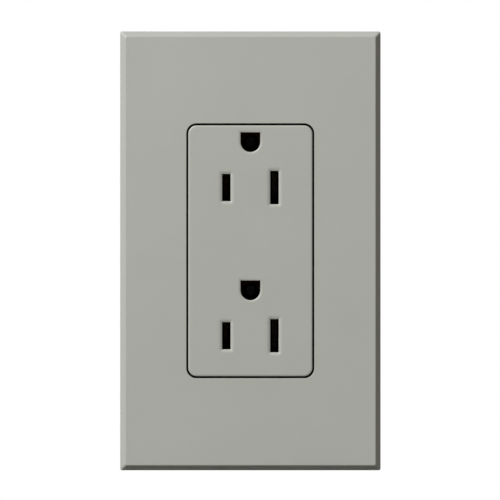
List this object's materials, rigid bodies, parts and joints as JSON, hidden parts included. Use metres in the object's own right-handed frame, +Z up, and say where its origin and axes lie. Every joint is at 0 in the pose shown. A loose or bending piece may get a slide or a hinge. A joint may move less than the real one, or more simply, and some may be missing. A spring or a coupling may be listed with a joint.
{
  "type": "duplex wall outlet",
  "caption": "Duplex wall outlet with a flush rectangular face, two grounded sockets and a screwless bevelled wall plate over a metal strap.",
  "frame": {"origin": "on the wall surface, midway between the two box screws, at the centre of the plate's window", "axes": "+Z up, -Y out of the wall towards the room, +X to the right of a person who faces the outlet (neutral side)"},
  "size_m": [0.0688, 0.0334, 0.1158],
  "materials": {
    "face_plastic": "fine-textured moulded thermoplastic",
    "plate_plastic": "fine-textured moulded thermoplastic",
    "adapter_plastic": "moulded thermoplastic frame",
    "housing_plastic": "glass-filled thermoplastic",
    "fibre": "vulcanised fibre",
    "galvanised_steel": "zinc plated",
    "brass": "drawn brass",
    "nickel_brass": "nickel-plated brass",
    "bronze": "phosphor bronze",
    "green_steel": "green-dyed zinc plate"
  },
  "bodies": {
    "receptacle": {"plate_adapter": "adapter_plastic", "face_cover": "face_plastic", "rear_housing": "housing_plastic", "mounting_strap": "galvanised_steel", "hot_contact_strip": "brass", "neutral_contact_strip": "nickel_brass", "ground_contact_upper": "bronze", "ground_contact_lower": "bronze", "ground_rivet_upper": "galvanised_steel", "ground_rivet_lower": "galvanised_steel", "assembly_screw_upper": "galvanised_steel", "assembly_screw_lower": "galvanised_steel"},
    "plate": {"wall_plate": "plate_plastic"},
    "hot_upper_clamp_body": {"hot_clamp_upper": "brass"},
    "hot_upper_screw_body": {"hot_screw_upper": "brass"},
    "hot_lower_clamp_body": {"hot_clamp_lower": "brass"},
    "hot_lower_screw_body": {"hot_screw_lower": "brass"},
    "neutral_upper_clamp_body": {"neutral_clamp_upper": "nickel_brass"},
    "neutral_upper_screw_body": {"neutral_screw_upper": "nickel_brass"},
    "neutral_lower_clamp_body": {"neutral_clamp_lower": "nickel_brass"},
    "neutral_lower_screw_body": {"neutral_screw_lower": "nickel_brass"},
    "ground_clamp_body": {"ground_clamp": "galvanised_steel"},
    "ground_screw_body": {"ground_screw": "green_steel"},
    "box_fixing_upper": {"screw_retainer_upper": "fibre", "self_grounding_clip": "bronze"},
    "box_screw_upper_body": {"box_screw_upper": "galvanised_steel"},
    "adapter_screw_upper_body": {"adapter_screw_upper": "galvanised_steel"},
    "box_fixing_lower": {"screw_retainer_lower": "fibre"},
    "box_screw_lower_body": {"box_screw_lower": "galvanised_steel"},
    "adapter_screw_lower_body": {"adapter_screw_lower": "galvanised_steel"}
  },
  "joints": [
    {"name": "plate_pull", "type": "slide", "parent": "receptacle", "child": "plate", "axis": [0, -1, 0], "range_m": [0, 0.02]},
    {"name": "hot_upper_clamp_travel", "type": "slide", "parent": "receptacle", "child": "hot_upper_clamp_body", "axis": [-1, 0, 0], "range_m": [0, 0.003]},
    {"name": "hot_upper_screw_turn", "type": "hinge", "parent": "hot_upper_clamp_body", "child": "hot_upper_screw_body", "pos_m": [-0.018, 0.0105, 0.011], "axis": [-1, 0, 0], "range_deg": [0, 1361]},
    {"name": "hot_lower_clamp_travel", "type": "slide", "parent": "receptacle", "child": "hot_lower_clamp_body", "axis": [-1, 0, 0], "range_m": [0, 0.003]},
    {"name": "hot_lower_screw_turn", "type": "hinge", "parent": "hot_lower_clamp_body", "child": "hot_lower_screw_body", "pos_m": [-0.018, 0.0105, -0.011], "axis": [-1, 0, 0], "range_deg": [0, 1361]},
    {"name": "neutral_upper_clamp_travel", "type": "slide", "parent": "receptacle", "child": "neutral_upper_clamp_body", "axis": [1, 0, 0], "range_m": [0, 0.003]},
    {"name": "neutral_upper_screw_turn", "type": "hinge", "parent": "neutral_upper_clamp_body", "child": "neutral_upper_screw_body", "pos_m": [0.018, 0.0105, 0.011], "axis": [1, 0, 0], "range_deg": [0, 1361]},
    {"name": "neutral_lower_clamp_travel", "type": "slide", "parent": "receptacle", "child": "neutral_lower_clamp_body", "axis": [1, 0, 0], "range_m": [0, 0.003]},
    {"name": "neutral_lower_screw_turn", "type": "hinge", "parent": "neutral_lower_clamp_body", "child": "neutral_lower_screw_body", "pos_m": [0.018, 0.0105, -0.011], "axis": [1, 0, 0], "range_deg": [0, 1361]},
    {"name": "ground_clamp_travel", "type": "slide", "parent": "receptacle", "child": "ground_clamp_body", "axis": [-1, 0, 0], "range_m": [0, 0.003]},
    {"name": "ground_screw_turn", "type": "hinge", "parent": "ground_clamp_body", "child": "ground_screw_body", "pos_m": [-0.0112, 0.009, -0.0402], "axis": [-1, 0, 0], "range_deg": [0, 1361]},
    {"name": "box_screw_upper_levelling", "type": "slide", "parent": "receptacle", "child": "box_fixing_upper", "axis": [1, 0, 0], "range_m": [-0.0015, 0.0015]},
    {"name": "box_screw_upper_turn", "type": "hinge", "parent": "box_fixing_upper", "child": "box_screw_upper_body", "pos_m": [0, -0.0015, 0.04165], "axis": [0, -1, 0], "continuous": true},
    {"name": "adapter_screw_upper_turn", "type": "hinge", "parent": "receptacle", "child": "adapter_screw_upper_body", "pos_m": [0, -0.0034, 0.0484], "axis": [0, -1, 0], "continuous": true},
    {"name": "box_screw_lower_levelling", "type": "slide", "parent": "receptacle", "child": "box_fixing_lower", "axis": [1, 0, 0], "range_m": [-0.0015, 0.0015]},
    {"name": "box_screw_lower_turn", "type": "hinge", "parent": "box_fixing_lower", "child": "box_screw_lower_body", "pos_m": [0, -0.0015, -0.04165], "axis": [0, -1, 0], "continuous": true},
    {"name": "adapter_screw_lower_turn", "type": "hinge", "parent": "receptacle", "child": "adapter_screw_lower_body", "pos_m": [0, -0.0034, -0.0484], "axis": [0, -1, 0], "continuous": true}
  ],
  "couplings": [
    {"joint": "hot_upper_screw_turn", "follows": "hot_upper_clamp_travel", "rad_per_m": 7913.3},
    {"joint": "hot_lower_screw_turn", "follows": "hot_lower_clamp_travel", "rad_per_m": 7913.3},
    {"joint": "neutral_upper_screw_turn", "follows": "neutral_upper_clamp_travel", "rad_per_m": 7913.3},
    {"joint": "neutral_lower_screw_turn", "follows": "neutral_lower_clamp_travel", "rad_per_m": 7913.3},
    {"joint": "ground_screw_turn", "follows": "ground_clamp_travel", "rad_per_m": 7913.3}
  ]
}
